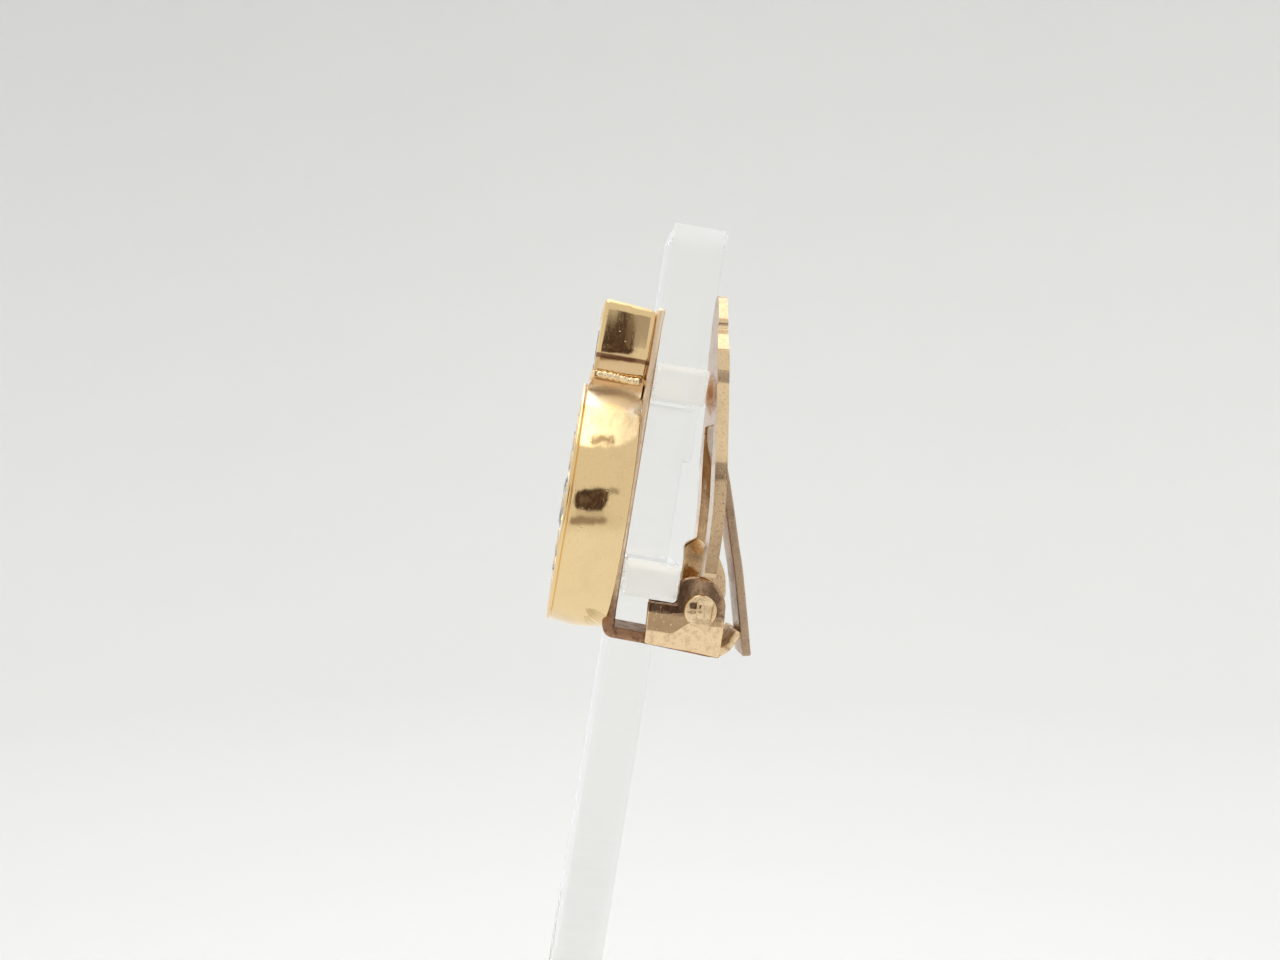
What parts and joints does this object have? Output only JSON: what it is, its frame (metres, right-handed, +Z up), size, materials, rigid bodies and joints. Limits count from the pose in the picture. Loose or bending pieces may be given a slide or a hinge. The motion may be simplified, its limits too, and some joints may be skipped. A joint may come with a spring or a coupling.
{
  "type": "rhinestone clip earring on a clear stand",
  "caption": "Gold-tone clip earring with a square block above a round stone-set disc, its sprung paddle closed on the cross bars of a leaning clear stand.",
  "frame": {"origin": "middle of the foot's underside, which is the middle of the box's bottom", "axes": "+Z up, the earring's decorated front faces -Y, its clip is at +Y, and it hangs on the bars at +X"},
  "size_m": [0.036, 0.03, 0.0576],
  "materials": {
    "gold_plate": "polished gold plate, lightly worn",
    "worn_gold": "dull brown worn plate",
    "crystal": "clear foil-backed cut glass",
    "clear_acrylic": "clear, polished faces, sawn edges"
  },
  "bodies": {
    "root": {"setting": "gold_plate", "hinge_pin": "gold_plate", "square_stone": "crystal", "centre_stone": "crystal", "inner_stone_1": "crystal", "inner_stone_2": "crystal", "inner_stone_3": "crystal", "inner_stone_4": "crystal", "inner_stone_5": "crystal", "inner_stone_6": "crystal", "inner_stone_7": "crystal", "inner_stone_8": "crystal", "outer_stone_1": "crystal", "outer_stone_2": "crystal", "outer_stone_3": "crystal", "outer_stone_4": "crystal", "outer_stone_5": "crystal", "outer_stone_6": "crystal", "outer_stone_7": "crystal", "outer_stone_8": "crystal", "outer_stone_9": "crystal", "outer_stone_10": "crystal", "outer_stone_11": "crystal", "outer_stone_12": "crystal", "outer_stone_13": "crystal", "outer_stone_14": "crystal", "outer_stone_15": "crystal", "outer_stone_16": "crystal", "stand_panel": "clear_acrylic", "stand_foot": "clear_acrylic"},
    "paddle": {"clip_paddle": "gold_plate", "spring_tongue": "worn_gold"}
  },
  "joints": [
    {"name": "clip_hinge", "type": "hinge", "parent": "root", "child": "paddle", "pos_m": [0.0074, 0.00202, 0.03483], "axis": [-1, 0, 0], "range_deg": [0, 85], "stiffness_Nm_per_rad": 0.003, "springref_deg": -45.84, "deforming": ["spring_tongue"]}
  ]
}
